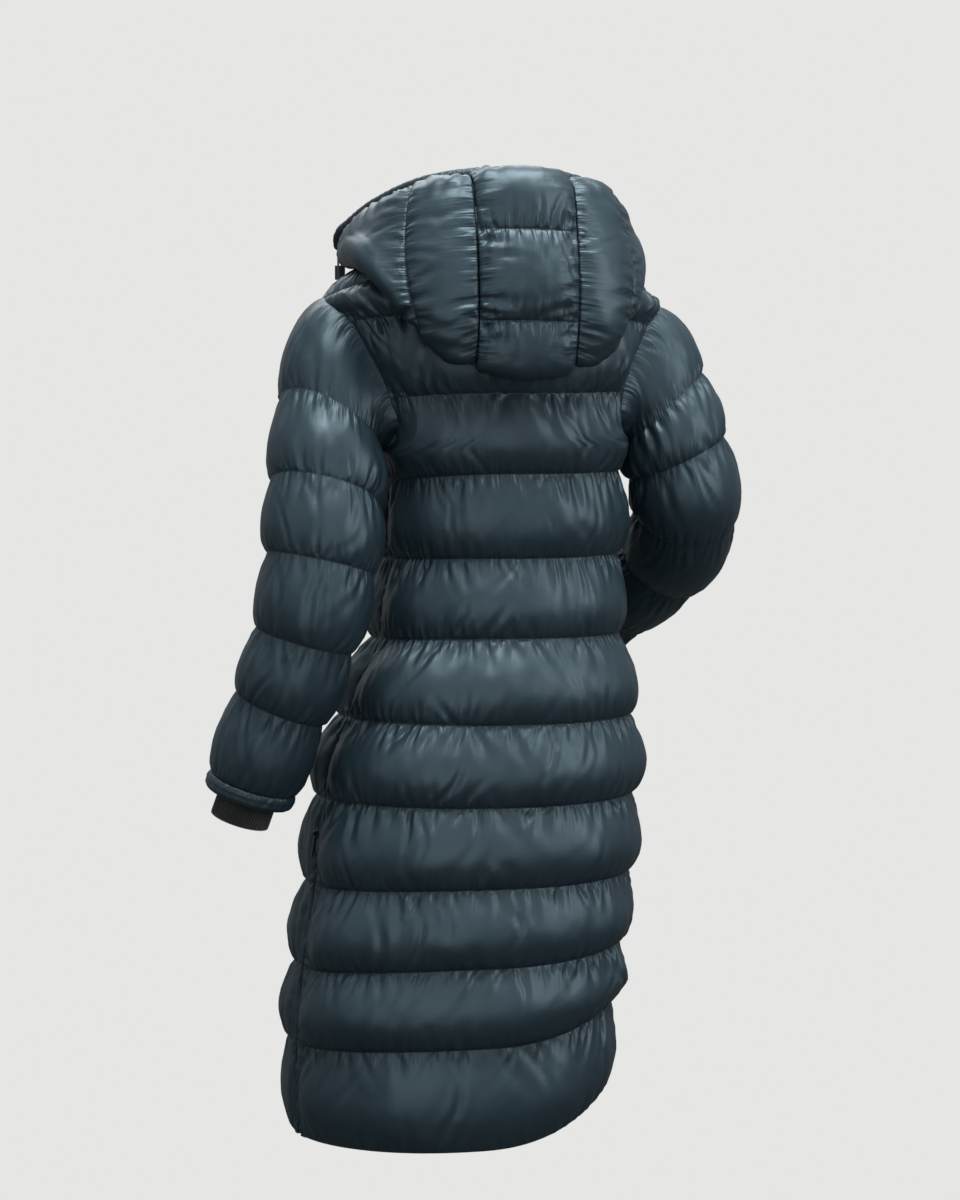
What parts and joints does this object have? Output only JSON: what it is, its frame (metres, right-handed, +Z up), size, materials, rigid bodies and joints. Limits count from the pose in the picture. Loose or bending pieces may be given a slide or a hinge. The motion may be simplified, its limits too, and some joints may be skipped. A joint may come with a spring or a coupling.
{
  "type": "long hooded puffer coat",
  "caption": "Long quilted puffer coat with a padded hood, stand collar, full front zip, side vent zips and rib-knit inner cuffs, in its worn shape.",
  "frame": {"origin": "centre of the neck opening at the shoulders, where the wearer's shoulders hold the coat", "axes": "+Z up, front faces -Y, back faces +Y, the wearer's left is +X"},
  "size_m": [0.6718, 0.4808, 1.1554],
  "materials": {
    "shell": "satin woven nylon",
    "rib": "matte rib knit",
    "tape": "matte woven zip tape",
    "cord": "braided elastic",
    "lock": "satin moulded plastic",
    "zip_metal": "dark painted metal"
  },
  "bodies": {
    "coat": {"back_panel": "shell", "front_left": "shell", "front_right": "shell", "sleeve_left": "shell", "sleeve_right": "shell", "cuff_band_left": "shell", "cuff_band_right": "shell", "hood_center": "shell", "hood_side_left": "shell", "hood_side_right": "shell", "collar": "shell", "hood_rim": "shell", "rib_cuff_left": "rib", "rib_cuff_right": "rib", "zip_tape_left": "tape", "zip_tape_right": "tape", "vent_tape_back_left": "tape", "vent_tape_front_left": "tape", "vent_tape_back_right": "tape", "vent_tape_front_right": "tape", "drawcord_left": "cord", "drawcord_right": "cord", "cord_lock_left": "lock", "cord_lock_right": "lock", "zip_slider": "zip_metal", "vent_slider_left": "zip_metal", "vent_slider_right": "zip_metal"},
    "front_tab": {"zip_pull": "zip_metal"},
    "left_vent_tab": {"vent_pull_left": "zip_metal"},
    "right_vent_tab": {"vent_pull_right": "zip_metal"}
  },
  "joints": [
    {"name": "front_tab_swing", "type": "hinge", "parent": "coat", "child": "front_tab", "pos_m": [0, -0.09092, -0.04433], "axis": [-1, 0, 0], "range_deg": [0, 100]},
    {"name": "left_vent_tab_swing", "type": "hinge", "parent": "coat", "child": "left_vent_tab", "pos_m": [0.22035, 0.02816, -0.72398], "axis": [0.1239, -0.9839, 0.1284], "range_deg": [0, 100]},
    {"name": "right_vent_tab_swing", "type": "hinge", "parent": "coat", "child": "right_vent_tab", "pos_m": [-0.18103, 0.02816, -0.72022], "axis": [0.1366, 0.9894, 0.0495], "range_deg": [0, 100]}
  ]
}
